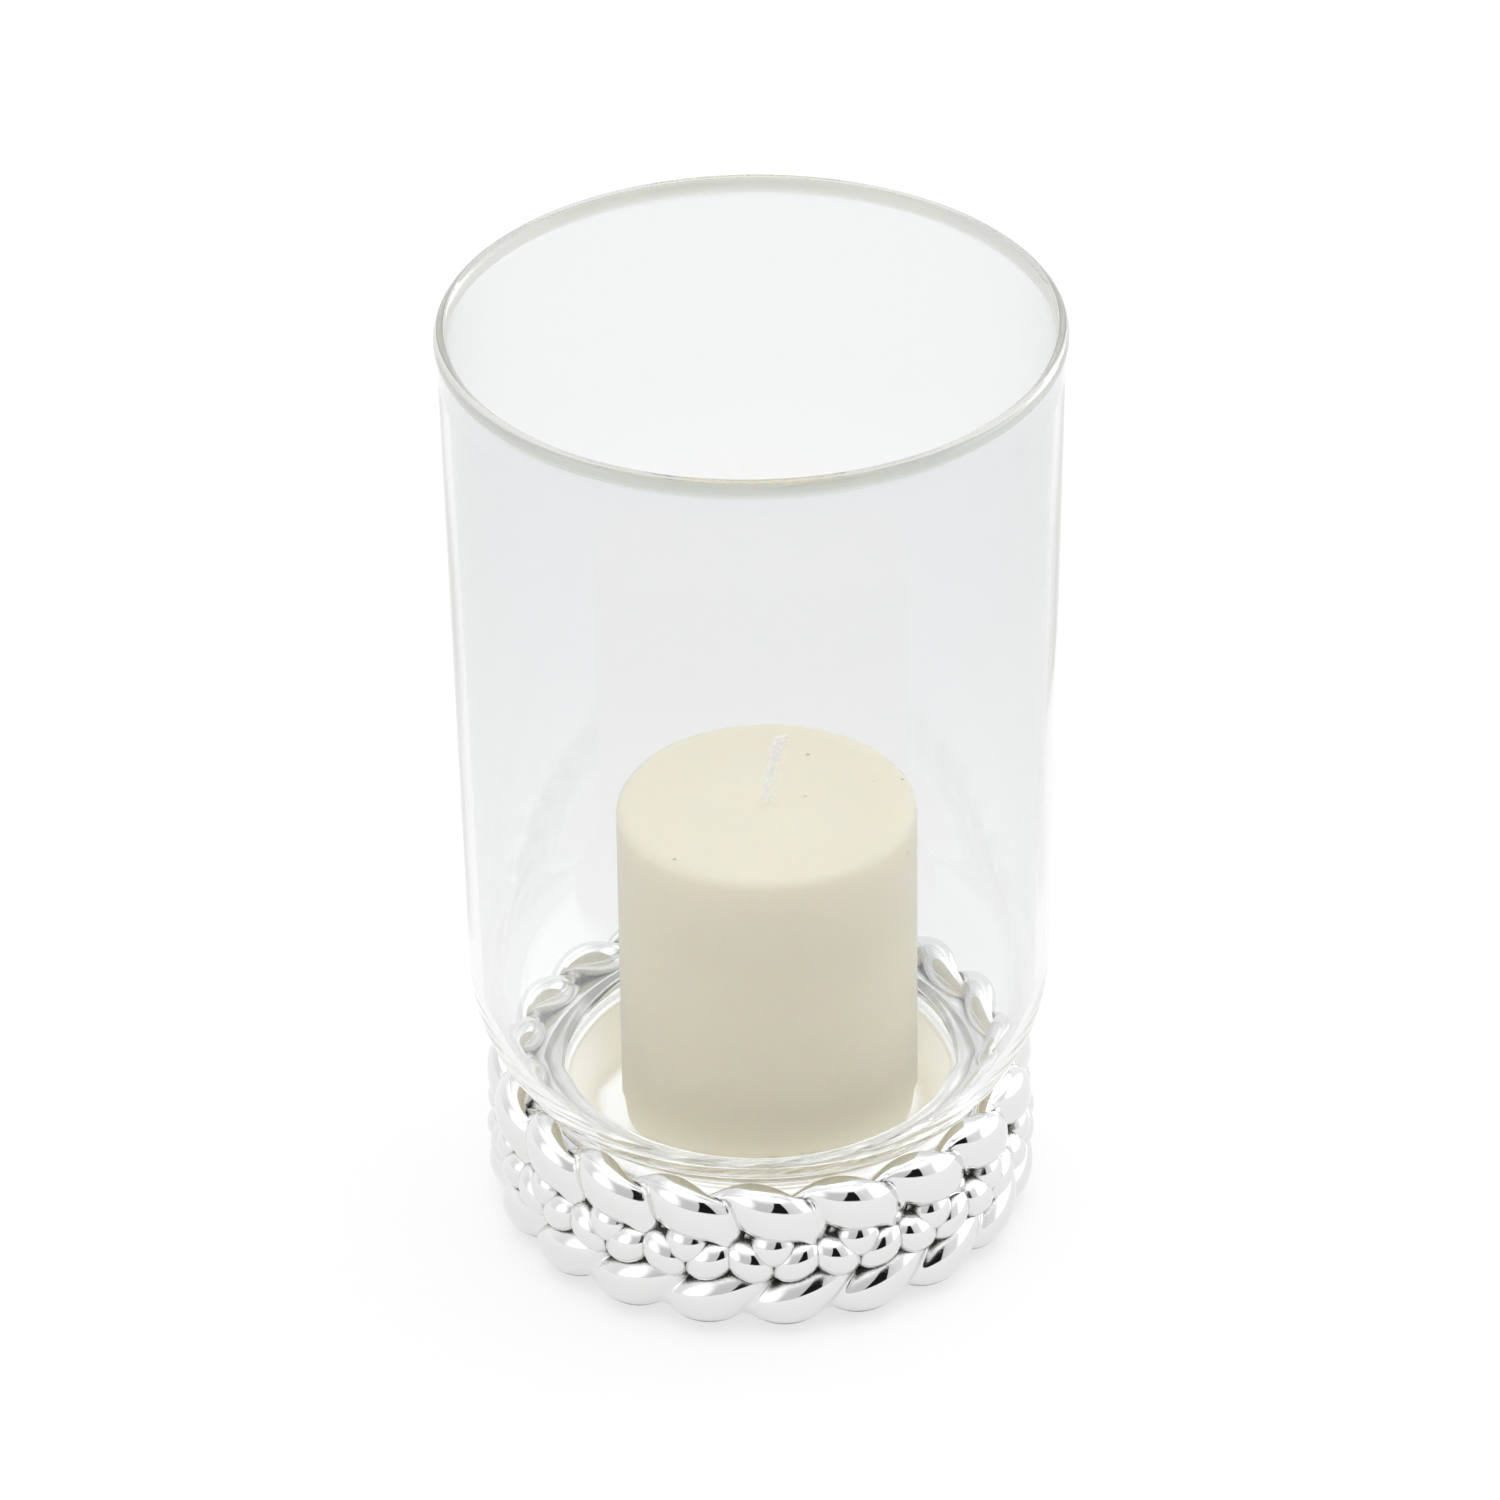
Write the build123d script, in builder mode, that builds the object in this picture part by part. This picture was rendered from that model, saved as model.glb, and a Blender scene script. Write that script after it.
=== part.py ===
from build123d import *
import os

os.makedirs("parts", exist_ok=True)

# Hurricane candle lantern, millimetres. +Z is up, the origin is the middle of the
# underside that rests on the table, and -Y is the front.

# ---- Driving dimensions ----
TOTAL_HEIGHT = 254.4  # table to the top of the glass rim (10 in)
RING_OUTER_R = 70.2  # over the lobes of the base
REPEATS = 19  # lobes and berry clusters around the base

# base shell
FELT_THICK = 1.5
FELT_R = 54.0
PLATE_THICK = 1.5
HOOP_INNER_R = 55.0
HOOP_OUTER_R = 60.0
LOWER_BAND_TOP = 16.0
BERRY_BAND_TOP = 26.5
METAL_FOOT = 0.5  # the lobes end this far above the table

# candle well, a spun cup whose flange is the ledge under the glass
WELL_FLOOR = 15.4
WELL_FLOOR_R = 46.3
WELL_MOUTH_R = 49.4
WELL_THICK = 1.2
WELL_FILLET = 4.0
WELL_RIM_FILLET = 2.0
LEDGE = 35.0
FLANGE_R = 57.0

# glass chimney
GLASS_OPENING_R = 50.3
GLASS_EDGE_R = 52.2
HEEL_LEVEL = 73.0  # the rounded heel runs into the straight wall here
HEEL_OUTER_RADIUS = 43.4
HEEL_INNER_RADIUS = 37.47
WALL_OUTER_R = 73.7
WALL_INNER_R = 70.8
RIM_OUTER_R = 77.2
RIM_BEAD = 1.6
SEAT_GAP = 0.6

# candle, a standard 3 in by 4 in pillar
CANDLE_R = 38.1
CANDLE_HEIGHT = 101.6
CANDLE_EDGE = 2.8
CANDLE_X = 2.4  # it stands a little off centre
WICK_R = 1.3
WICK_EXPOSED = 19.0
WICK_LEAN = 3.6
CLIP_R = 10.0
CLIP_THICK = 0.4
CLIP_NECK_R = 2.2
CLIP_NECK_HEIGHT = 6.0

# rope lobes: radii of the two ends, distance between their centres, tilt of the big
# end above the level, level of the middle, and turn of the first lobe from the front
LOWER_LOBE = dict(big_r=8.6, small_r=8.6, spacing=9.0, tilt=35, level=10.0, turn=6.3)
UPPER_LOBE = dict(big_r=6.6, small_r=4.2, spacing=15.0, tilt=160, level=35.2, turn=4.2)

# berry clusters: one top bead over two lower ones
BERRY_TURN = 2.3
TOP_BEAD = dict(radius=5.6, level=25.2)
LOW_BEAD = dict(radius=4.9, level=19.6)
LOW_BEAD_SPREAD = 5.1  # degrees either side of the top bead

FRONT = -90


def save(part, name):
    part.label = name
    export_step(part, f"parts/{name}.step")


def rope_lobe(big_r, small_r, spacing, tilt):
    """A teardrop: two balls and the cone that touches both, lying along Y, then tipped."""
    slope = (big_r - small_r) / spacing
    flat = (1 - slope**2) ** 0.5
    big_end, small_end = spacing / 2 + big_r, -spacing / 2 - small_r
    big_touch = (big_r * flat, spacing / 2 - big_r * slope)
    small_touch = (small_r * flat, -spacing / 2 - small_r * slope)
    with BuildPart() as lobe:
        with BuildSketch(Plane.XY):
            with BuildLine():
                TangentArc((0, big_end), big_touch, tangent=(1, 0))
                Line(big_touch, small_touch)
                TangentArc((0, small_end), small_touch, tangent=(1, 0))
                Line((0, small_end), (0, big_end))
            make_face()
        revolve(axis=Axis.Y)
    return lobe.part.rotate(Axis.X, tilt)


def lobe_band(lobe):
    """One lobe, and the places of all of them round the ring, outsides on RING_OUTER_R."""
    shape = rope_lobe(lobe["big_r"], lobe["small_r"], lobe["spacing"], lobe["tilt"])
    ring = PolarLocations(
        RING_OUTER_R - lobe["big_r"], REPEATS, start_angle=FRONT + lobe["turn"]
    )
    return shape, [Location((0, 0, lobe["level"])) * place for place in ring]


def hoop_profile(bottom, top):
    """Rectangle of the plain hoop that carries one band."""
    with Locations(((HOOP_INNER_R + HOOP_OUTER_R) / 2, (bottom + top) / 2)):
        Rectangle(HOOP_OUTER_R - HOOP_INNER_R, top - bottom)


# ---- Underside: felt pad and base plate ----
with BuildPart() as base_felt_pad:
    with BuildSketch(Plane.XY):
        Circle(FELT_R)
    extrude(amount=FELT_THICK)
save(base_felt_pad.part, "base_felt_pad")

plate_top = FELT_THICK + PLATE_THICK
with BuildPart() as base_plate:
    with BuildSketch(Plane.XY.offset(FELT_THICK)):
        Circle(HOOP_INNER_R)
    extrude(amount=PLATE_THICK)
save(base_plate.part, "base_plate")

# ---- Lower rope band ----
lower_lobe, lower_places = lobe_band(LOWER_LOBE)
with BuildPart() as lower_rope_band:
    with BuildSketch(Plane.XZ):
        hoop_profile(plate_top, LOWER_BAND_TOP)
    revolve(axis=Axis.Z)
    with Locations(*lower_places):
        add(lower_lobe)
    with BuildSketch(Plane.XY):
        Circle(HOOP_INNER_R)
    extrude(amount=LEDGE, mode=Mode.SUBTRACT)
    split(bisect_by=Plane.XY.offset(METAL_FOOT), keep=Keep.TOP)
save(lower_rope_band.part, "lower_rope_band")

# ---- Berry band ----
bead_ring_r = RING_OUTER_R - TOP_BEAD["radius"]
low_bead_ring_r = RING_OUTER_R - LOW_BEAD["radius"]
with BuildPart() as berry_band:
    with BuildSketch(Plane.XZ):
        hoop_profile(LOWER_BAND_TOP, BERRY_BAND_TOP)
    revolve(axis=Axis.Z)
    with Locations((0, 0, TOP_BEAD["level"])):
        with PolarLocations(bead_ring_r, REPEATS, start_angle=FRONT + BERRY_TURN):
            Sphere(TOP_BEAD["radius"])
    with Locations((0, 0, LOW_BEAD["level"])):
        for side in (-1, 1):
            start = FRONT + BERRY_TURN + side * LOW_BEAD_SPREAD
            with PolarLocations(low_bead_ring_r, REPEATS, start_angle=start):
                Sphere(LOW_BEAD["radius"])
    add(lower_rope_band.part, mode=Mode.SUBTRACT)
save(berry_band.part, "berry_band")

# ---- Upper leaf band, hollowed to clear the heel of the glass ----
flange_under = LEDGE - WELL_THICK
heel_centre_r = WALL_OUTER_R - HEEL_OUTER_RADIUS
upper_lobe, upper_places = lobe_band(UPPER_LOBE)
with BuildPart() as upper_leaf_band:
    with BuildSketch(Plane.XZ):
        hoop_profile(BERRY_BAND_TOP, flange_under)
    revolve(axis=Axis.Z)
    with Locations(*upper_places):
        add(upper_lobe)
    # bore under the flange, a wider bore for the flange, and the seat around the heel
    with BuildSketch(Plane.XY):
        Circle(HOOP_INNER_R)
    extrude(amount=flange_under, mode=Mode.SUBTRACT)
    with BuildSketch(Plane.XY.offset(flange_under)):
        Circle(FLANGE_R)
    extrude(amount=HEEL_LEVEL, mode=Mode.SUBTRACT)
    with BuildSketch(Plane.XZ):
        with BuildLine():
            seat_radius = HEEL_OUTER_RADIUS + SEAT_GAP
            seat = CenterArc((heel_centre_r, HEEL_LEVEL), seat_radius, -90, 90)
            Polyline(seat @ 1, (0, HEEL_LEVEL), (0, HEEL_LEVEL - seat_radius), seat @ 0)
        make_face()
    revolve(axis=Axis.Z, mode=Mode.SUBTRACT)
    add(berry_band.part, mode=Mode.SUBTRACT)
save(upper_leaf_band.part, "upper_leaf_band")

# ---- Candle well with the ledge flange ----
with BuildPart() as candle_well:
    with BuildSketch(Plane.XZ):
        with BuildLine():
            inside = FilletPolyline(
                (0, WELL_FLOOR),
                (WELL_FLOOR_R, WELL_FLOOR),
                (WELL_MOUTH_R, LEDGE),
                (FLANGE_R, LEDGE),
                radius=[WELL_FILLET, WELL_RIM_FILLET],
            )
            outside = FilletPolyline(
                (FLANGE_R, flange_under),
                (WELL_MOUTH_R + WELL_THICK, flange_under),
                (WELL_FLOOR_R + WELL_THICK, WELL_FLOOR - WELL_THICK),
                (0, WELL_FLOOR - WELL_THICK),
                radius=[WELL_RIM_FILLET - WELL_THICK, WELL_FILLET + WELL_THICK],
            )
            Line(inside @ 1, outside @ 0)
            Line(outside @ 1, inside @ 0)
        make_face()
    revolve(axis=Axis.Z)
save(candle_well.part, "candle_well")

# ---- Glass chimney: open at both ends, rounded in at the heel ----
def heel_height(arc_radius, wall_r, r):
    """Height of a heel arc, tangent to the wall at HEEL_LEVEL, where its radius is r."""
    return HEEL_LEVEL - (arc_radius**2 - (r - wall_r + arc_radius) ** 2) ** 0.5


edge_low = heel_height(HEEL_OUTER_RADIUS, WALL_OUTER_R, GLASS_EDGE_R)
edge_high = heel_height(HEEL_INNER_RADIUS, WALL_INNER_R, GLASS_EDGE_R)
rim_level = TOTAL_HEIGHT - RIM_BEAD
with BuildPart() as glass_chimney:
    with BuildSketch(Plane.XZ):
        with BuildLine():
            outer_heel = RadiusArc(
                (GLASS_EDGE_R, edge_low), (WALL_OUTER_R, HEEL_LEVEL), -HEEL_OUTER_RADIUS
            )
            Line((WALL_OUTER_R, HEEL_LEVEL), (RIM_OUTER_R, rim_level))
            ThreePointArc(
                (RIM_OUTER_R, rim_level),
                (RIM_OUTER_R - RIM_BEAD, TOTAL_HEIGHT),
                (RIM_OUTER_R - 2 * RIM_BEAD, rim_level),
            )
            Line((RIM_OUTER_R - 2 * RIM_BEAD, rim_level), (WALL_INNER_R, HEEL_LEVEL))
            inner_heel = RadiusArc(
                (WALL_INNER_R, HEEL_LEVEL), (GLASS_EDGE_R, edge_high), HEEL_INNER_RADIUS
            )
            ThreePointArc(
                (GLASS_EDGE_R, edge_high),
                (GLASS_OPENING_R, (edge_low + edge_high) / 2),
                (GLASS_EDGE_R, edge_low),
            )
        make_face()
    revolve(axis=Axis.Z)
save(glass_chimney.part, "glass_chimney")

# ---- Candle: wax, wick and the tin clip that holds the wick's foot ----
candle_top = WELL_FLOOR + CANDLE_HEIGHT
wick_foot = WELL_FLOOR + CLIP_THICK
candle_floor = Plane.XY.offset(WELL_FLOOR).move(Location((CANDLE_X, 0, 0)))
with BuildPart() as wick_sustainer:
    with BuildSketch(candle_floor):
        Circle(CLIP_R)
    extrude(amount=CLIP_THICK)
    with BuildSketch(candle_floor.offset(CLIP_THICK)):
        Circle(CLIP_NECK_R)
        Circle(WICK_R, mode=Mode.SUBTRACT)
    extrude(amount=CLIP_NECK_HEIGHT)
save(wick_sustainer.part, "wick_sustainer")

with BuildPart() as candle_wick:
    with BuildLine():
        straight = Line((CANDLE_X, 0, wick_foot), (CANDLE_X, 0, candle_top))
        TangentArc(
            straight @ 1,
            (CANDLE_X + WICK_LEAN, 0, candle_top + WICK_EXPOSED),
            tangent=(0, 0, 1),
        )
    with BuildSketch(Plane.XY.offset(wick_foot).move(Location((CANDLE_X, 0, 0)))):
        Circle(WICK_R)
    sweep()
save(candle_wick.part, "candle_wick")

with BuildPart() as candle_wax:
    with BuildSketch(candle_floor):
        Circle(CANDLE_R)
    extrude(amount=CANDLE_HEIGHT)
    fillet(candle_wax.edges().filter_by(GeomType.CIRCLE), CANDLE_EDGE)
    # pocket for the clip and the channel of the wick
    with BuildSketch(candle_floor):
        Circle(CLIP_R)
    extrude(amount=CLIP_THICK, mode=Mode.SUBTRACT)
    with BuildSketch(candle_floor):
        Circle(CLIP_NECK_R)
    extrude(amount=CLIP_THICK + CLIP_NECK_HEIGHT, mode=Mode.SUBTRACT)
    with BuildSketch(candle_floor):
        Circle(WICK_R)
    extrude(amount=CANDLE_HEIGHT, mode=Mode.SUBTRACT)
save(candle_wax.part, "candle_wax")
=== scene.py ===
"""Looks of the hurricane candle lantern.

A ring of silver-plated rope lobes and berries holds an open glass chimney, and an
ivory pillar candle stands in the well in its middle. Lengths are metres; MM turns
millimetres into them. -Y is the front.
"""

import math

import bmesh
import bpy
import numpy as np
from mathutils import Matrix, Vector


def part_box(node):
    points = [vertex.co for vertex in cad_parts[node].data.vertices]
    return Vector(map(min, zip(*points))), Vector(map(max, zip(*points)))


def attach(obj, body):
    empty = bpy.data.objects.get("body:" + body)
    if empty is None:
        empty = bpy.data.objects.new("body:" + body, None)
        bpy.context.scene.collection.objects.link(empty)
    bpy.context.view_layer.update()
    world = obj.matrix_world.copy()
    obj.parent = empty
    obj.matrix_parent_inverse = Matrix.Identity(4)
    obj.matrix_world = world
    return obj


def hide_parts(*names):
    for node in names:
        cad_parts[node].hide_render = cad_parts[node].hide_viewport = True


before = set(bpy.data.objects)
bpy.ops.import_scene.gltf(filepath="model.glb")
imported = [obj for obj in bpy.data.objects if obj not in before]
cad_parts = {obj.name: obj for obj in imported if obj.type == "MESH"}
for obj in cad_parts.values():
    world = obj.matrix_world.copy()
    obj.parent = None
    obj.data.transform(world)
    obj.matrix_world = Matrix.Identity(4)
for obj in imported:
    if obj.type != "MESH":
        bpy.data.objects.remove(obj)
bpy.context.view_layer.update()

MM = 0.001
TURN = 2 * math.pi

# ---- sizes read from the frame ----
glass_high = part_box("glass_chimney")[1]
well_low, well_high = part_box("candle_well")
wax_low, wax_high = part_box("candle_wax")
wick_low, wick_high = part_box("candle_wick")
felt_low, felt_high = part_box("base_felt_pad")
plate_low, plate_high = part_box("base_plate")
tin_low, tin_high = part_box("wick_sustainer")

TOTAL_HEIGHT = glass_high.z
RIM_R = glass_high.x
LEDGE = well_high.z
FLANGE_R = well_high.x
HOOP_R = 57.2 * MM
REPEATS = 19
PITCH = TURN / REPEATS
FRONT = -TURN / 4

# glass section, as the CAD has it
GLASS_OPENING_R = 50.3 * MM
GLASS_EDGE_R = 52.2 * MM
HEEL_LEVEL = 73.0 * MM
HEEL_OUTER_RADIUS = 43.4 * MM
HEEL_INNER_RADIUS = 37.47 * MM
WALL_OUTER_R = 73.7 * MM
WALL_INNER_R = 70.8 * MM


# ---------------------------------------------------------------- mesh helpers
def grid_faces(rows, cols, wrap_rows=False):
    """Quads of a rows by cols grid whose columns close on themselves."""
    faces = []
    for i in range(rows if wrap_rows else rows - 1):
        j = (i + 1) % rows
        for k in range(cols):
            m = (k + 1) % cols
            faces.append((i * cols + k, i * cols + m, j * cols + m, j * cols + k))
    return faces


def lathe(profile, segments, closed=True):
    """Turns (r, z) points about the axis. A point at r 0 becomes one vertex."""
    angles = np.arange(segments) * TURN / segments
    profile = np.asarray(profile, float)
    if closed:
        rings = [
            np.stack([r * np.cos(angles), r * np.sin(angles), np.full(segments, z)], -1)
            for r, z in profile
        ]
        return np.concatenate(rings), grid_faces(len(profile), segments, wrap_rows=True)
    verts, faces = [(0, 0, profile[0][1])], []
    inner = profile[1:-1]
    for r, z in inner:
        verts += [(r * math.cos(a), r * math.sin(a), z) for a in angles]
    verts.append((0, 0, profile[-1][1]))
    faces += [tuple(1 + k for k in f) for f in grid_faces(len(inner), segments)]
    last, end = 1 + (len(inner) - 1) * segments, len(verts) - 1
    for k in range(segments):
        m = (k + 1) % segments
        faces.append((0, 1 + m, 1 + k))
        faces.append((end, last + k, last + m))
    return np.array(verts), faces


def arc(centre, radius, start, end, steps):
    """Points on a circle from start to end, in degrees."""
    angles = np.radians(np.linspace(start, end, steps + 1))
    return [(centre[0] + radius * math.cos(a), centre[1] + radius * math.sin(a)) for a in angles]


def rounded(corners, radii, steps=8):
    """An open path of (r, z) corners with its inner corners rounded to radii."""
    path = [corners[0]]
    for before, at, after, radius in zip(corners, corners[1:], corners[2:], radii):
        at = Vector(at)
        back, on = (Vector(before) - at), (Vector(after) - at)
        half = back.angle(on) / 2
        reach = radius / math.tan(half)
        reach = min(reach, 0.49 * back.length, 0.49 * on.length)
        start, stop = at + back.normalized() * reach, at + on.normalized() * reach
        for k in range(steps + 1):
            t = k / steps
            path.append(tuple(start * (1 - t) ** 2 + at * 2 * t * (1 - t) + stop * t**2))
    path.append(corners[-1])
    return path


def ball_net(cuts):
    """Vertices on a unit ball and quads, from a finely cut cube, with no poles."""
    net = bmesh.new()
    bmesh.ops.create_cube(net, size=2)
    bmesh.ops.subdivide_edges(net, edges=net.edges[:], cuts=cuts, use_grid_fill=True)
    net.verts.ensure_lookup_table()
    points = np.array([v.co for v in net.verts])
    faces = [tuple(v.index for v in f.verts) for f in net.faces]
    net.free()
    points = np.tan(points * math.pi / 4)
    return points / np.linalg.norm(points, axis=1)[:, None], faces


def joined(*shapes):
    """Several (vertices, faces) as one."""
    verts, faces, offset = [], [], 0
    for points, quads in shapes:
        verts.append(np.asarray(points, float))
        faces += [tuple(k + offset for k in f) for f in quads]
        offset += len(points)
    return np.concatenate(verts), faces


def make_piece(name, shape, material, body, slot, *nodes):
    """A smooth mesh piece that rides on body and stands for the CAD nodes."""
    mesh = bpy.data.meshes.new(name)
    mesh.from_pydata([tuple(v) for v in shape[0]], [], shape[1])
    mesh.polygons.foreach_set("use_smooth", [True] * len(mesh.polygons))
    mesh.materials.append(material)
    mesh.update()
    piece = bpy.data.objects.new(name, mesh)
    bpy.context.scene.collection.objects.link(piece)
    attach(piece, body)
    if nodes:
        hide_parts(*nodes)
    return piece


# ------------------------------------------------------------ material helpers
def new_material(name):
    material = bpy.data.materials.new(name)
    material.use_nodes = True
    tree = material.node_tree
    return material, tree, tree.nodes["Principled BSDF"]


def add_node(tree, kind, **settings):
    """A node. Settings that name an input fill it with a value or a link; others are its own."""
    made = tree.nodes.new(kind)
    for key, value in settings.items():
        if hasattr(made, key):
            setattr(made, key, value)
    for key, value in settings.items():
        if hasattr(made, key):
            continue
        socket = made.inputs[int(key[1:])] if key[0] == "i" and key[1:].isdigit() else made.inputs[key]
        if isinstance(value, bpy.types.NodeSocket):
            tree.links.new(value, socket)
        else:
            socket.default_value = value
    return made


def math_node(tree, operation, first, second=0.0):
    return add_node(tree, "ShaderNodeMath", operation=operation, i0=first, i1=second).outputs[0]


def times(tree, first, second):
    return math_node(tree, "MULTIPLY", first, second)


def plus(tree, first, second):
    return math_node(tree, "ADD", first, second)


def mix(tree, factor, first, second):
    """First where factor is 0 and second where it is 1, both colours."""
    made = add_node(tree, "ShaderNodeMix", data_type="RGBA", i0=factor, i6=first, i7=second)
    return made.outputs[2]


def object_place(tree):
    """Place in the piece's own frame, which moves with it."""
    return add_node(tree, "ShaderNodeTexCoord").outputs["Object"]


def share_of_height(tree):
    """Height above the foot of the lantern, as a share of its whole height."""
    level = add_node(tree, "ShaderNodeSeparateXYZ", Vector=object_place(tree)).outputs["Z"]
    return math_node(tree, "DIVIDE", level, TOTAL_HEIGHT)


def glow(shader, colour, strength):
    """Light of its own, for what the plain studio doesn't carry there."""
    shader.inputs["Emission Color"].default_value = (*colour, 1)
    shader.inputs["Emission Strength"].default_value = strength


def noise(tree, scale, detail=3.0, roughness=0.5, vector=None):
    made = add_node(tree, "ShaderNodeTexNoise", Scale=scale, Detail=detail, Roughness=roughness)
    tree.links.new(object_place(tree) if vector is None else vector, made.inputs["Vector"])
    return made.outputs["Fac"]


def ramp(tree, factor, stops):
    """Colour ramp with (place, grey or colour) stops."""
    made = tree.nodes.new("ShaderNodeValToRGB")
    while len(made.color_ramp.elements) < len(stops):
        made.color_ramp.elements.new(0.5)
    for element, (place, colour) in zip(made.color_ramp.elements, stops):
        element.position = place
        colour = (colour,) * 3 if isinstance(colour, (int, float)) else colour
        element.color = (*colour, 1)
    tree.links.new(factor, made.inputs["Fac"])
    return made.outputs["Color"]


def spread(tree, factor, low, high):
    """Factor 0..1 mapped to low..high."""
    made = add_node(tree, "ShaderNodeMapRange", **{"Value": factor, "To Min": low, "To Max": high})
    return made.outputs["Result"]


def bump(tree, height, distance, strength=1.0, normal=None):
    made = add_node(tree, "ShaderNodeBump", Height=height, Distance=distance, Strength=strength)
    if normal is not None:
        tree.links.new(normal, made.inputs["Normal"])
    return made.outputs["Normal"]


# ------------------------------------------------------------------- materials
def silver_material(name, crevice_reach, own_crevices):
    """Polished silver plate that is dark and grainy deep in its crevices.

    crevice_reach is how wide a gap still counts as one, and own_crevices leaves out
    those between this piece and the others.
    """
    tint, tarnish = (0.79, 0.79, 0.786, 1), (0.08, 0.076, 0.068, 1)
    material, tree, shader = new_material(name)
    crevice = add_node(tree, "ShaderNodeAmbientOcclusion", Distance=crevice_reach, samples=8)
    crevice.only_local = own_crevices
    depth = ramp(tree, crevice.outputs["AO"], [(0.0, 1.0), (0.44, 0.9), (0.64, 0.22), (0.80, 0.0)])
    grain = noise(tree, 1900, detail=4, roughness=0.7)
    # the grain breaks up the edge of the dark
    sandy = times(tree, depth, spread(tree, grain, -0.9, 3.1))
    broken = ramp(tree, sandy, [(0.38, 0.0), (0.66, 1.0)])
    cloud = noise(tree, 55, detail=3)
    rough = plus(tree, spread(tree, cloud, 0.021, 0.0525), times(tree, depth, 0.34))
    cast = bump(tree, noise(tree, 130, detail=2), 0.00012, 0.35)
    pitted = bump(tree, times(tree, grain, depth), 0.0006, 0.9, cast)
    shader.inputs["Metallic"].default_value = 1
    tree.links.new(mix(tree, broken, tint, tarnish), shader.inputs["Base Color"])
    tree.links.new(rough, shader.inputs["Roughness"])
    tree.links.new(pitted, shader.inputs["Normal"])
    return material


def spun_silver_material():
    """Silver spun on a lathe: fine rings round the axis."""
    material, tree, shader = new_material("spun_silver")
    parts = add_node(tree, "ShaderNodeSeparateXYZ", Vector=object_place(tree)).outputs
    squares = [times(tree, parts[axis], parts[axis]) for axis in "XY"]
    radius = math_node(tree, "SQRT", plus(tree, *squares))
    ring_place = add_node(tree, "ShaderNodeCombineXYZ", X=radius, Z=parts["Z"]).outputs[0]
    rings = noise(tree, 1500, detail=3, vector=ring_place)
    cloud = noise(tree, 40, detail=4)
    tree.links.new(spread(tree, cloud, 0.30, 0.42), shader.inputs["Roughness"])
    tree.links.new(bump(tree, rings, 0.00003, 0.25), shader.inputs["Normal"])
    tree.links.new(
        ramp(tree, cloud, [(0.2, (0.85, 0.845, 0.83)), (0.8, (0.89, 0.885, 0.87))]),
        shader.inputs["Base Color"],
    )
    shader.inputs["Metallic"].default_value = 1
    glow(shader, (1, 0.99, 0.97), 0.17)
    return material


def glass_material():
    """Clear glass, faintly wavy, with a pale grey of painted shade, deeper towards the top, that shows it
    against a white floor.
    """
    material, tree, shader = new_material("clear_glass")
    height = share_of_height(tree)
    cloud = plus(tree, height, spread(tree, noise(tree, 9, detail=1), -0.04, 0.04))
    # painted shade: the clear glass is coloured grey, greyer towards the top
    painted_grey = ramp(tree, cloud, [(0.25, (0.92, 0.925, 0.927)), (0.78, (0.84, 0.845, 0.852))])
    # in the photograph the rim, and the wall where it is seen edge on, are darker and greener
    # the green of both is the glass's own tint through its thickness, and their extra darkness is painted
    # shade
    lip = ramp(tree, height, [(0.980, 0.0), (0.988, 1.0)])
    painted_grey = mix(tree, lip, painted_grey, (0.60, 0.61, 0.56, 1))
    edge = add_node(tree, "ShaderNodeLayerWeight", Blend=0.35).outputs["Facing"]
    edge = times(tree, math_node(tree, "POWER", edge, 3.0), 0.75)
    tree.links.new(mix(tree, edge, painted_grey, (0.36, 0.375, 0.36, 1)), shader.inputs["Base Color"])
    glow(shader, (1, 1, 0.94), 0.010)
    shader.inputs["Transmission Weight"].default_value = 1
    shader.inputs["IOR"].default_value = 1.5
    wave = add_node(tree, "ShaderNodeMapping", Vector=object_place(tree), Scale=(1, 1, 0.3))
    ripple = noise(tree, 28, detail=1, vector=wave.outputs[0])
    tree.links.new(bump(tree, ripple, 0.0006, 0.25), shader.inputs["Normal"])
    tree.links.new(spread(tree, noise(tree, 60), 0.0, 0.012), shader.inputs["Roughness"])
    return material


def wax_material():
    """Ivory wax: light soaks in, with a soft bloom, faint mottling and tiny pits."""
    material, tree, shader = new_material("ivory_wax")
    mottle = noise(tree, 45, detail=5, roughness=0.6)
    height = plus(tree, share_of_height(tree), spread(tree, mottle, -0.03, 0.03))
    # painted light: paler at the foot, to make up for the little light down in the well, and paler at the
    # top to brighten it
    colour = ramp(
        tree,
        height,
        [
            (0.10, (0.98, 0.925, 0.70)),
            (0.26, (0.83, 0.785, 0.595)),
            (0.36, (0.83, 0.785, 0.605)),
            (0.45, (0.91, 0.87, 0.71)),
        ],
    )
    specks = add_node(tree, "ShaderNodeTexVoronoi", Vector=object_place(tree), Scale=95.0)
    pits = ramp(tree, specks.outputs["Distance"], [(0.0, 1.0), (0.045, 1.0), (0.06, 0.0)])
    keep = ramp(tree, noise(tree, 70, detail=0), [(0.62, 0.0), (0.64, 1.0)])
    pit = times(tree, pits, keep)
    tree.links.new(mix(tree, pit, colour, (0.50, 0.45, 0.31, 1)), shader.inputs["Base Color"])
    shader.inputs["Subsurface Weight"].default_value = 0.85
    shader.inputs["Subsurface Radius"].default_value = (1.0, 0.72, 0.42)
    shader.inputs["Subsurface Scale"].default_value = 0.009
    shader.inputs["Sheen Weight"].default_value = 0.35
    fine = noise(tree, 420, detail=4)
    tree.links.new(spread(tree, mottle, 0.42, 0.58), shader.inputs["Roughness"])
    skin = bump(tree, fine, 0.00006, 0.4)
    broad = bump(tree, noise(tree, 22, detail=2), 0.0006, 0.3, skin)
    hole = bump(tree, times(tree, pit, -1.0), 0.0003, 0.8, broad)
    tree.links.new(hole, shader.inputs["Normal"])
    glow(shader, (1, 0.89, 0.64), 0.11)
    return material


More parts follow.
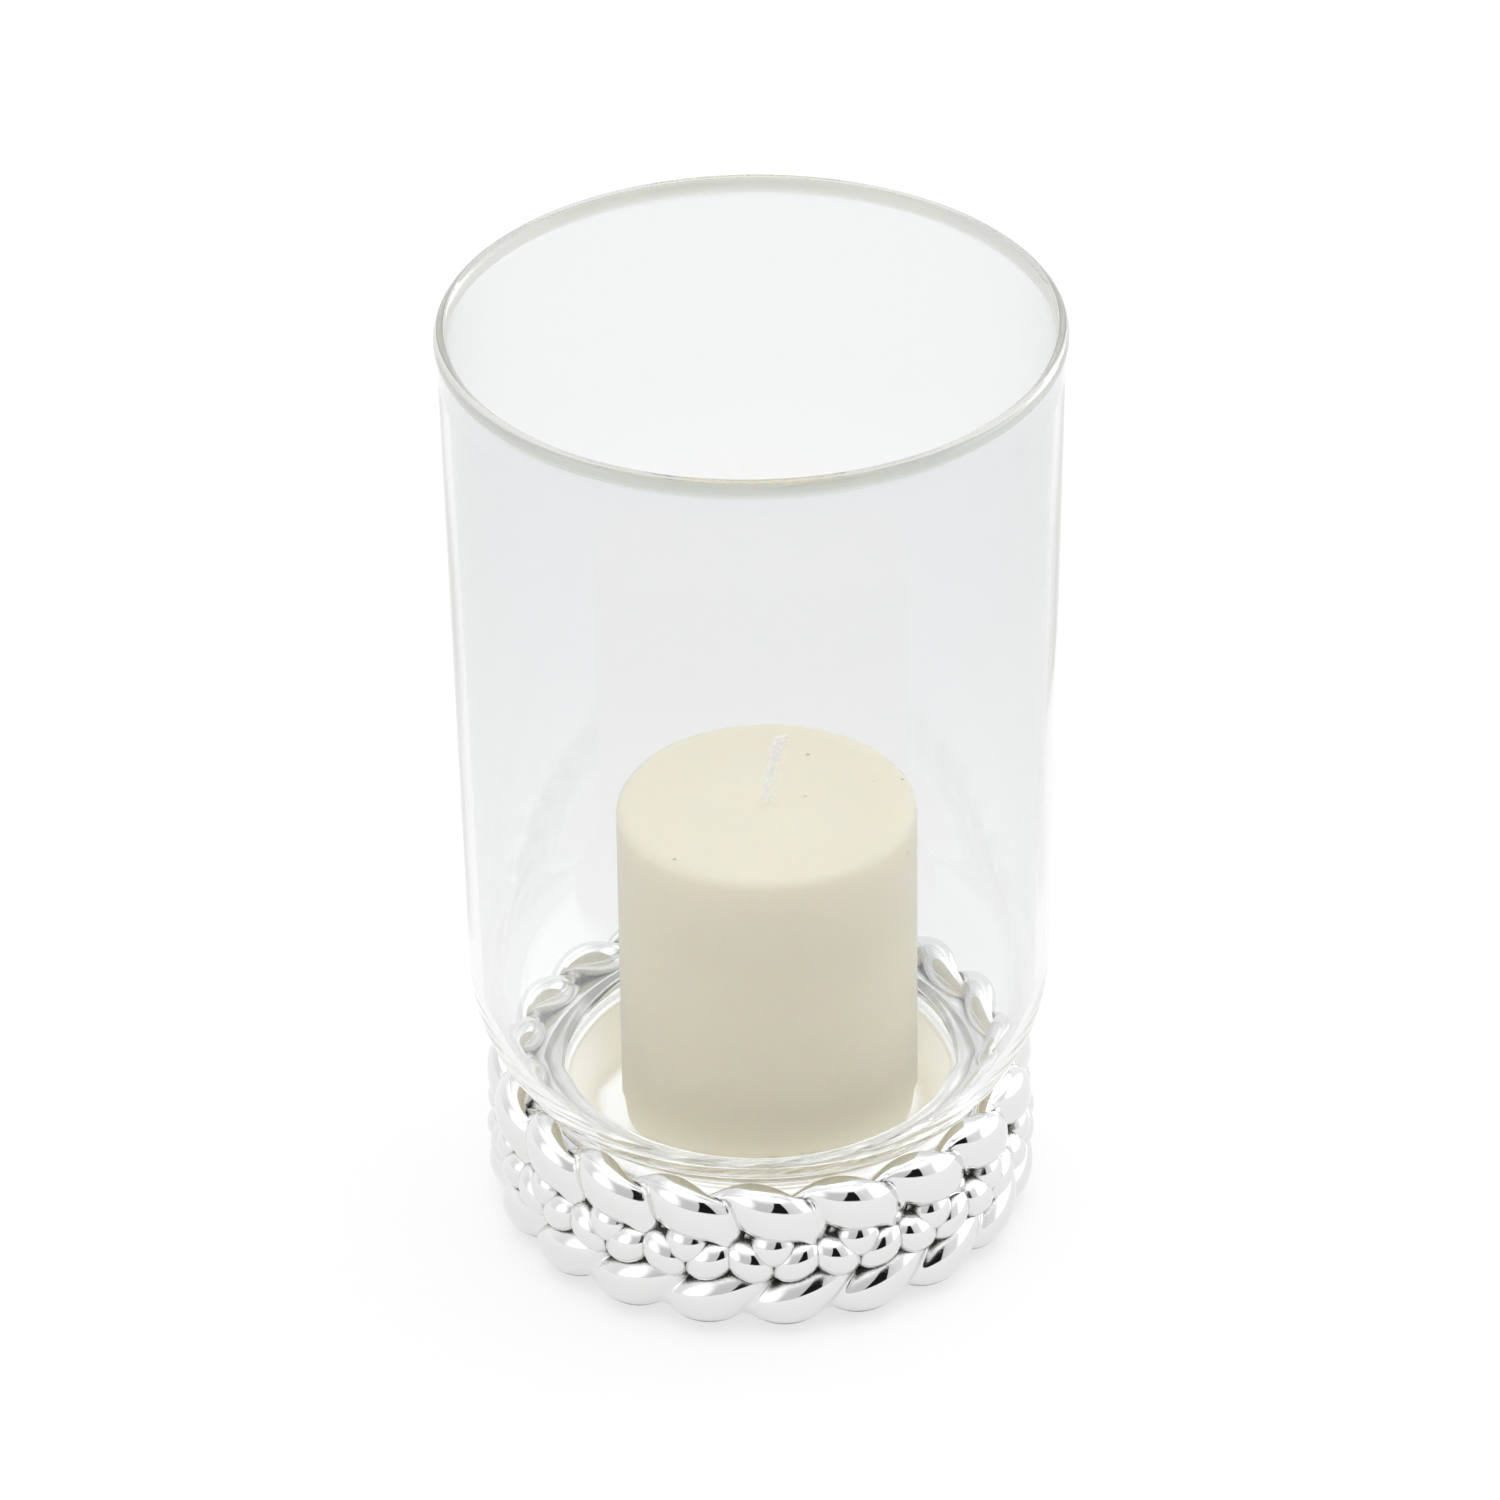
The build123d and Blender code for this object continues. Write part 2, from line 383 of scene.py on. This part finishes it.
def cotton_material():
    """Braided cotton, waxed."""
    material, tree, shader = new_material("waxed_cotton")
    fibres = add_node(tree, "ShaderNodeMapping", Vector=object_place(tree), Scale=(1, 1, 0.25))
    strands = noise(tree, 5200, detail=4, vector=fibres.outputs[0])
    colour = ramp(tree, strands, [(0.3, (0.90, 0.885, 0.82)), (0.7, (0.97, 0.965, 0.94))])
    tree.links.new(colour, shader.inputs["Base Color"])
    tree.links.new(spread(tree, strands, 0.5, 0.8), shader.inputs["Roughness"])
    tree.links.new(bump(tree, strands, 0.00012, 0.8), shader.inputs["Normal"])
    shader.inputs["Subsurface Weight"].default_value = 0.3
    shader.inputs["Subsurface Scale"].default_value = 0.001
    glow(shader, (1, 0.98, 0.94), 0.18)
    return material


def felt_material():
    """Pressed black wool felt."""
    material, tree, shader = new_material("wool_felt")
    fluff = noise(tree, 1400, detail=6, roughness=0.75)
    colour = ramp(tree, fluff, [(0.3, (0.012, 0.012, 0.014)), (0.7, (0.05, 0.05, 0.055))])
    tree.links.new(colour, shader.inputs["Base Color"])
    tree.links.new(spread(tree, fluff, 0.85, 1.0), shader.inputs["Roughness"])
    tree.links.new(bump(tree, fluff, 0.0004, 0.9), shader.inputs["Normal"])
    shader.inputs["Sheen Weight"].default_value = 0.5
    return material


def tin_material():
    """Dull stamped tin."""
    material, tree, shader = new_material("tin")
    cloud = noise(tree, 300, detail=4)
    tree.links.new(
        ramp(tree, cloud, [(0.3, (0.55, 0.55, 0.54)), (0.7, (0.68, 0.68, 0.66))]),
        shader.inputs["Base Color"],
    )
    tree.links.new(spread(tree, cloud, 0.28, 0.45), shader.inputs["Roughness"])
    tree.links.new(bump(tree, cloud, 0.00005, 0.4), shader.inputs["Normal"])
    shader.inputs["Metallic"].default_value = 1
    return material


# -------------------------------------------------------------- silver base
def rope_band(centre_r, centre_z, radial, vertical, valley, seam, softness, hang=0, power=1):
    """A ring whose section is an oval, cut into leaning rope lobes.

    psi goes round the section in degrees, 0 outside and 90 on top. valley(psi) is the
    depth of the seams, seam(psi) where one of them lies, in degrees from the front, and
    softness(psi) how rounded its bottom is. hang lowers each lobe's lower right end, and a
    power below 1 squares the oval off.
    """
    around, section = REPEATS * 40, 120  # points round the ring and round its section
    theta = (np.arange(around) * TURN / around)[None, :]
    psi = (np.arange(section) * 360 / section - 180)[:, None]
    cos, sin = np.cos(np.radians(psi)), np.sin(np.radians(psi))
    phase = (theta - FRONT - np.radians(seam(psi))) / PITCH - 0.5
    place = phase - np.round(phase)
    across = 2 * np.abs(place)
    here, neighbour = across**2 * (0.9 + 0.1 * across**2), (2 - across) ** 2
    soft = softness(psi)
    blend = np.maximum(soft - np.abs(neighbour - here), 0) / soft
    depth = valley(psi) * (np.minimum(here, neighbour) - blend**2 * soft / 4)
    normal_r, normal_z = cos / radial, sin / vertical
    length = np.hypot(normal_r, normal_z)
    tip_place, tip_width = 0.38, 0.15  # in shares of a lobe, from its middle
    tip = hang * np.exp(-(((place - tip_place) / tip_width) ** 2)) * np.clip(-sin * 1.4, 0, 1) ** 2
    r = centre_r + radial * np.sign(cos) * np.abs(cos) ** power - normal_r / length * depth
    z = centre_z + vertical * np.sign(sin) * np.abs(sin) ** power - normal_z / length * depth - tip
    points = np.stack([r * np.cos(theta), r * np.sin(theta), z], -1)
    return points.reshape(-1, 3), grid_faces(section, around, wrap_rows=True)


def bead(net, angle, radius, level, size, tilt=0.0):
    """An oval bead: size is its half length along the ring, half height and half depth."""
    points, faces = net
    along, up, out = points[:, 0] * size[0], points[:, 1] * size[1], points[:, 2] * size[2]
    c, s = math.cos(tilt), math.sin(tilt)
    along, up = along * c - up * s, along * s + up * c
    r, theta = radius + out, angle + along / (radius + 2 * MM)
    return np.stack([r * np.cos(theta), r * np.sin(theta), level + up], -1), faces


def core(bottom, top, inner_r, outer_r, edge):
    """The plain hoop behind a band."""
    corners = [(inner_r, bottom), (outer_r, bottom), (outer_r, top), (inner_r, top)]
    loop = corners + corners[:2]
    path = rounded(loop, [edge] * 4, steps=4)[1:-1]
    return lathe(path, 240)


silver = silver_material("silver_plate", 6.5 * MM, False)
leaf_silver = silver_material("leaf_silver_plate", 4.5 * MM, True)


def lower_band():
    """Fat lobes, upright low down and leaning up to the right above the bend."""
    bend, bend_width = -20, 12
    lean = 0.0947  # close to one lobe's pitch over the 200 degrees of section past the bend

    def seam(psi):
        return -4.1 + lean * bend_width * np.logaddexp(0, (psi - bend) / bend_width)

    rope = rope_band(
        centre_r=61.6 * MM,
        centre_z=10.1 * MM,
        radial=8.7 * MM,
        vertical=9.6 * MM,
        valley=lambda psi: (3.7 - 0.3 * np.sin(np.radians(psi))) * MM,
        seam=seam,
        softness=lambda psi: 0.50 - 0.36 * np.sin(np.radians(psi)),
    )
    make_piece("lower_rope_lobes", rope, silver, "base", "silver_plate", "lower_rope_band")


def berries():
    """Clusters of three beads: one on top and a tilted one at each side below it."""
    net = ball_net(15)
    turn = math.radians(2.3)
    shapes = [core(15.5 * MM, 31.0 * MM, HOOP_R, 65.2 * MM, 1.5 * MM)]
    for k in range(REPEATS):
        middle = FRONT + turn + k * PITCH
        shapes.append(bead(net, middle, 64.5 * MM, 25.9 * MM, (6.3 * MM, 6.2 * MM, 5.8 * MM)))
        for side in (-1, 1):
            angle, tilt = middle + side * math.radians(5.0), side * math.radians(35)
            size = (7.8 * MM, 5.9 * MM, 6.2 * MM)
            shapes.append(bead(net, angle, 64.4 * MM, 21.6 * MM, size, tilt))
    make_piece("berry_clusters", joined(*shapes), silver, "base", "silver_plate", "berry_band")


def upper_band():
    """Slimmer leaf-like lobes that lean down to the right, on the hoop behind them."""
    rope = rope_band(
        centre_r=64.5 * MM,
        centre_z=35.2 * MM,
        radial=5.8 * MM,
        vertical=8.2 * MM,
        valley=lambda psi: (4.1 + 0.7 * np.sin(np.radians(psi))) * MM,
        seam=lambda psi: -6.7 - psi / REPEATS + np.sin(np.radians(psi)),
        softness=lambda psi: 0.20 - 0.10 * np.sin(np.radians(psi)),
        hang=3.6 * MM,
        power=0.9,
    )
    hoop = core(26.0 * MM, LEDGE, HOOP_R, 62.0 * MM, 1.0 * MM)
    make_piece(
        "upper_leaf_lobes",
        joined(rope, hoop),
        leaf_silver,
        "base",
        "silver_plate",
        "upper_leaf_band",
    )


def candle_well():
    """The spun cup, whose flange is the ledge for the glass."""
    sheet = 1.2 * MM
    floor, under = well_low.z + sheet, well_low.z
    inside = rounded(
        [(0, floor), (46.3 * MM, floor), (49.4 * MM, LEDGE), (FLANGE_R, LEDGE)],
        [7.5 * MM, 2.2 * MM],
        steps=12,
    )
    outside = rounded(
        [
            (FLANGE_R, LEDGE - sheet),
            (50.6 * MM, LEDGE - sheet),
            (47.5 * MM, under),
            (0, under),
        ],
        [1.0 * MM, 5.0 * MM],
        steps=8,
    )
    shape = lathe(inside + outside, 256, closed=False)
    make_piece("spun_candle_well", shape, spun_silver_material(), "base", "well_silver", "candle_well")


def disc(low, high):
    """A flat round plate that fills a box, with softened edges."""
    edge = 0.35 * MM
    corners = [(0, high.z), (high.x, high.z), (high.x, low.z), (0, low.z)]
    return lathe(rounded(corners, [edge, edge], steps=4)[::-1], 192, closed=False)


def underside():
    felt, plate = disc(felt_low, felt_high), disc(plate_low, plate_high)
    make_piece("felt_pad", felt, felt_material(), "base", "felt", "base_felt_pad")
    make_piece("closing_plate", plate, silver, "base", "well_silver", "base_plate")


# -------------------------------------------------------------------- glass
def chimney():
    def heel_angle(radius, wall_r):
        """Angle below the level at which a heel arc meets GLASS_EDGE_R."""
        return -math.degrees(math.acos((GLASS_EDGE_R - wall_r + radius) / radius))

    outer_centre = (WALL_OUTER_R - HEEL_OUTER_RADIUS, HEEL_LEVEL)
    inner_centre = (WALL_INNER_R - HEEL_INNER_RADIUS, HEEL_LEVEL)
    outer = arc(
        outer_centre, HEEL_OUTER_RADIUS, heel_angle(HEEL_OUTER_RADIUS, WALL_OUTER_R), 0, 40
    )
    inner = arc(
        inner_centre, HEEL_INNER_RADIUS, 0, heel_angle(HEEL_INNER_RADIUS, WALL_INNER_R), 40
    )
    # the fire-polished rim is a little thicker than the wall below it
    bead_wide, bead_high, swell = 1.75 * MM, 2.5 * MM, 0.35 * MM
    rim = [
        (RIM_R - bead_wide + bead_wide * math.cos(a), TOTAL_HEIGHT - bead_high + bead_high * math.sin(a))
        for a in np.radians(np.linspace(-42, 222, 40))
    ]
    top, steps = rim[0][1] - 0.8 * MM, 24
    rise = [(k / steps, HEEL_LEVEL + (top - HEEL_LEVEL) * k / steps) for k in range(1, steps + 1)]
    rim_outer, rim_inner = RIM_R - swell - 0.3 * MM, RIM_R - 2 * bead_wide + swell + 0.3 * MM
    up = [(WALL_OUTER_R + (rim_outer - WALL_OUTER_R) * t, z) for t, z in rise]
    down = [(WALL_INNER_R + (rim_inner - WALL_INNER_R) * t, z) for t, z in rise[::-1]]
    low, high = outer[0][1], inner[-1][1]
    middle, half = (low + high) / 2, (high - low) / 2
    bulge = GLASS_EDGE_R - GLASS_OPENING_R
    edge = [
        (GLASS_EDGE_R - bulge * math.cos(a), middle + half * math.sin(a))
        for a in np.linspace(math.pi / 2, -math.pi / 2, 18)[1:-1]
    ]
    profile = outer + up + rim + down + inner + edge
    shape = lathe(profile, 360)
    make_piece("glass_cylinder", shape, glass_material(), "glass", "clear_glass", "glass_chimney")


# ------------------------------------------------------------------- candle
def candle():
    centre = (wax_low + wax_high) / 2
    radius = (wax_high.x - wax_low.x) / 2
    top, foot = wax_high.z, wax_low.z
    edge = 2.9 * MM
    dish = 0.5 * MM
    wick_hole = 1.4 * MM
    cap = [
        (radius * t * 0.92, top - dish + dish * min(1, t * 1.06) ** 2)
        for t in np.linspace(0.05, 1, 16)
    ]
    corner = arc((radius - edge, top - edge), edge, 88, 2, 12)
    side = [(radius, top - edge - (top - foot - 2 * edge) * t) for t in np.linspace(0.03, 0.97, 34)]
    heel = arc((radius - edge, foot + edge), edge, 0, -88, 10)
    base = [(radius * t, foot) for t in (0.85, 0.5, 0.25)]
    meniscus = [(wick_hole * 0.9, top - dish + 0.55 * MM), (wick_hole * 1.6, top - dish + 0.15 * MM)]
    profile = [(0, top - dish + 0.6 * MM)] + meniscus + cap[1:] + corner + side + heel + base + [(0, foot)]
    points, faces = lathe(profile[::-1], 256, closed=False)
    angle = np.arctan2(points[:, 1], points[:, 0])
    reach = np.hypot(points[:, 0], points[:, 1])
    # the poured side is very slightly uneven, always inwards of its nominal size
    sway = (
        np.sin(3 * angle + 1.0 + points[:, 2] * 45)
        + 0.6 * np.sin(7 * angle + 2.1 - points[:, 2] * 90)
        + 0.5 * np.sin(2 * angle + points[:, 2] * 160)
    )
    shrink = np.where(reach > 0.6 * radius, (sway - 2.1) * 0.03 * MM, 0)
    points[:, :2] *= (1 + shrink / np.maximum(reach, 1e-6))[:, None]
    points[:, 0] += centre.x
    points[:, 1] += centre.y
    make_piece("pillar_wax", (points, faces), wax_material(), "candle", "ivory_wax", "candle_wax")


def tube(path, radii, sides=10):
    """A closed tube along path, with a radius for each point."""
    path = np.asarray(path, float)
    ahead = np.gradient(path, axis=0)
    ahead /= np.linalg.norm(ahead, axis=1)[:, None]
    side = np.cross(ahead, (0, 1, 0.1))
    side /= np.linalg.norm(side, axis=1)[:, None]
    other = np.cross(ahead, side)
    turn = np.arange(sides) * TURN / sides
    rings = (
        path[:, None]
        + side[:, None] * (np.cos(turn)[None, :, None] * radii[:, None, None])
        + other[:, None] * (np.sin(turn)[None, :, None] * radii[:, None, None])
    ).reshape(-1, 3)
    faces = grid_faces(len(path), sides)
    verts = np.concatenate([rings, path[:1], path[-1:]])
    first, last = len(rings), len(rings) + 1
    offset = (len(path) - 1) * sides
    for k in range(sides):
        m = (k + 1) % sides
        faces.append((first, m, k))
        faces.append((last, offset + k, offset + m))
    return verts, faces


def wick():
    """Three cotton strands, flat-braided, leaning to the right, with a cut, frayed end."""
    radius, buried = 1.3 * MM, 3 * MM
    foot = Vector((wick_low.x + radius, 0, wax_high.z - buried))
    exposed = wick_high.z - wax_high.z
    lean = wick_high.x - radius - foot.x
    t = np.linspace(0, 1, 120)
    height = t * (exposed + buried) * 0.985
    above = np.clip(height - buried, 0, None) / exposed
    x = foot.x + lean * (0.75 * above + 0.25 * above**2)
    x += 1.3 * MM * np.clip((above - 0.84) / 0.16, 0, 1) ** 2  # the tip curls over
    line = np.stack([x, np.zeros_like(x), foot.z + height], -1)
    strands = []
    swing, lift, pitch = 0.70 * MM, 0.42 * MM, 5.2 * MM
    for k in range(3):
        phase = height / pitch * TURN + k * TURN / 3
        path = line + np.stack([swing * np.sin(phase), lift * np.sin(2 * phase), 0 * x], -1)
        thick = np.full(len(x), 0.82 * MM)
        thick[-6:] *= np.linspace(1, 0.55, 6)
        strands.append(tube(path, thick, 12))
    frays = np.random.RandomState(4)
    for k in range(9):
        start = line[-8] + np.array([frays.uniform(-0.9, 0.9), frays.uniform(-0.4, 0.4), 0]) * MM
        tip = line[-1] + np.array(
            [frays.uniform(-0.7, 1.2), frays.uniform(-0.6, 0.6), frays.uniform(-0.6, 0.1)]
        ) * MM
        s = np.linspace(0, 1, 6)[:, None]
        path = start * (1 - s) + tip * s
        strands.append(tube(path, np.full(6, 0.14 * MM), 6))
    make_piece("braided_wick", joined(*strands), cotton_material(), "candle", "cotton_wick", "candle_wick")


def clip():
    """The tin clip, sunk in the foot of the candle."""
    centre = (tin_low + tin_high) / 2
    r = (tin_high.x - tin_low.x) / 2
    low, high = tin_low.z, tin_high.z
    disc = 0.4 * MM
    neck = 2.2 * MM
    path = rounded(
        [(0, high), (neck, high), (neck, low + disc), (r, low + disc), (r, low), (0, low)],
        [0.3 * MM, 0.5 * MM, 0.15 * MM, 0.15 * MM],
        steps=4,
    )
    points, faces = lathe(path[::-1], 96, closed=False)
    points[:, 0] += centre.x
    make_piece("wick_clip", (points, faces), tin_material(), "candle", "tin", "wick_sustainer")


# -------------------------------------------------------- camera, floor, light
def camera():
    """The photograph's camera: a long lens looking down, fitted to the glass, candle and ledge."""
    distance = 2.0044
    pitch, roll = math.radians(32.33), math.radians(-0.74)
    target = Vector((-1.6 * MM, 0, 131.8 * MM))
    ahead = Vector((0, math.cos(pitch), -math.sin(pitch)))
    level, lift = Vector((1, 0, 0)), Vector((0, math.sin(pitch), math.cos(pitch)))
    right = level * math.cos(roll) + lift * math.sin(roll)
    up = lift * math.cos(roll) - level * math.sin(roll)
    data = bpy.data.cameras.new("camera")
    data.lens = 192
    data.sensor_width = 36
    data.clip_end = 20
    made = bpy.data.objects.new("camera", data)
    place = target - ahead * distance
    made.matrix_world = Matrix(
        [
            (right.x, up.x, -ahead.x, place.x),
            (right.y, up.y, -ahead.y, place.y),
            (right.z, up.z, -ahead.z, place.z),
            (0, 0, 0, 1),
        ]
    )
    bpy.context.scene.collection.objects.link(made)
    bpy.context.scene.camera = made


def floor():
    """A plain pale floor that reads as white, just below the felt."""
    material, _, shader = new_material("pale_floor")
    shader.inputs["Base Color"].default_value = (0.25, 0.25, 0.25, 1)
    shader.inputs["Roughness"].default_value = 0.9
    glow(shader, (1, 1, 1), 0.72)
    shader.inputs["Specular IOR Level"].default_value = 0.0
    mesh = bpy.data.meshes.new("floor")
    reach = 4.0
    mesh.from_pydata(
        [(-reach, -reach, 0), (reach, -reach, 0), (reach, reach, 0), (-reach, reach, 0)],
        [],
        [(0, 1, 2, 3)],
    )
    mesh.materials.append(material)
    made = bpy.data.objects.new("floor", mesh)
    made.location.z = -0.0002
    bpy.context.scene.collection.objects.link(made)


def studio():
    """Soft light tent, with one dark gap that the silver reflects."""
    world = bpy.data.worlds.new("studio")
    bpy.context.scene.world = world
    world.use_nodes = True
    tree = world.node_tree
    background = tree.nodes["Background"]
    toward = add_node(tree, "ShaderNodeTexCoord").outputs["Generated"]
    parts = add_node(tree, "ShaderNodeSeparateXYZ", Vector=toward).outputs

    def dot(direction):
        made = add_node(tree, "ShaderNodeVectorMath", operation="DOT_PRODUCT")
        tree.links.new(toward, made.inputs[0])
        made.inputs[1].default_value = direction
        return made.outputs["Value"]

    def step(value, edge, width, flip=False):
        """Soft step from 0 up to 1 as value passes edge, or from 1 down to 0."""
        made = add_node(
            tree,
            "ShaderNodeMapRange",
            interpolation_type="SMOOTHSTEP",
            **{"Value": value, "From Min": edge - width, "From Max": edge + width},
        )
        if flip:
            made.inputs["To Min"].default_value, made.inputs["To Max"].default_value = 1, 0
        return made.outputs["Result"]

    def negative(value):
        return times(tree, value, -1.0)

    # brighter panels at the front left, the right, behind and overhead
    left = times(tree, step(dot((-0.80, -0.55, 0.25)), 0.93, 0.08), step(parts["Z"], 0.02, 0.03))
    right = step(dot((0.93, 0.28, 0.1)), 0.80, 0.08)
    back = step(parts["Y"], 0.35, 0.5)
    overhead = step(parts["Z"], 0.75, 0.25)
    light = 1.0
    for panel, strength in ((left, 0.9), (right, 1.5), (back, 0.2), (overhead, 0.95)):
        light = plus(tree, light, times(tree, panel, strength))

    # a little less from the front
    front = step(negative(parts["Y"]), 0.72, 0.25)
    light = math_node(tree, "SUBTRACT", light, times(tree, front, 0.24))

    # the dark gap to the right of the camera, from the floor to about 40 degrees up
    ahead = math_node(tree, "MAXIMUM", negative(parts["Y"]), 0.01)
    sideways = math_node(tree, "DIVIDE", parts["X"], ahead)
    slant = math_node(tree, "SUBTRACT", sideways, times(tree, parts["Z"], 0.5))
    soft = 0.02
    gap = step(slant, 0.04, soft)
    gap = times(tree, gap, step(negative(sideways), -0.78, soft))
    gap = times(tree, gap, step(negative(parts["Z"]), -0.66, soft))
    gap = times(tree, gap, step(parts["Z"], 0.03, soft))
    gap = times(tree, gap, step(parts["Y"], 0.0, 0.05, flip=True))
    light = times(tree, light, math_node(tree, "SUBTRACT", 1.0, gap))

    brightness, darkest = 0.87, 0.012
    light = plus(tree, times(tree, light, brightness), darkest)
    tree.links.new(light, background.inputs["Strength"])
    background.inputs["Color"].default_value = (1, 1, 1, 1)
    # the thick rim needs many bounces, or it goes black
    paths = bpy.context.scene.cycles
    paths.max_bounces = paths.transmission_bounces = paths.glossy_bounces = 48


camera()
floor()
studio()
lower_band()
berries()
upper_band()
candle_well()
underside()
chimney()
candle()
wick()
clip()
bpy.context.scene.view_settings.view_transform = "Standard"
